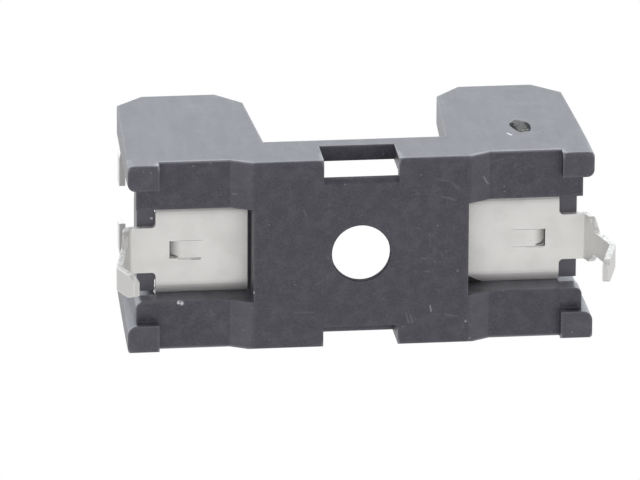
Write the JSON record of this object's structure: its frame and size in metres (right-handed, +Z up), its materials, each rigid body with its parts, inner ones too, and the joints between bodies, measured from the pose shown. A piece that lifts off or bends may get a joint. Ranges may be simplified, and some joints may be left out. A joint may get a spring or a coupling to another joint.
{
  "type": "pcb fuse holder",
  "caption": "Open board-mounted holder for a small cartridge fuse: black moulded base with corner towers, a screw hole, cover notches and formed spring clips with kinked solder pins.",
  "frame": {"origin": "centre of the mounting hole on the board plane", "axes": "+Z up from the board towards the fuse, X along the fuse, Y across it"},
  "size_m": [0.0237, 0.0094, 0.0146],
  "materials": {
    "moulding": "fine matte",
    "tinned_sheet": "tin plated"
  },
  "bodies": {
    "root": {"housing": "moulding", "left_contact_clip": "tinned_sheet", "right_contact_clip": "tinned_sheet"}
  },
  "joints": []
}
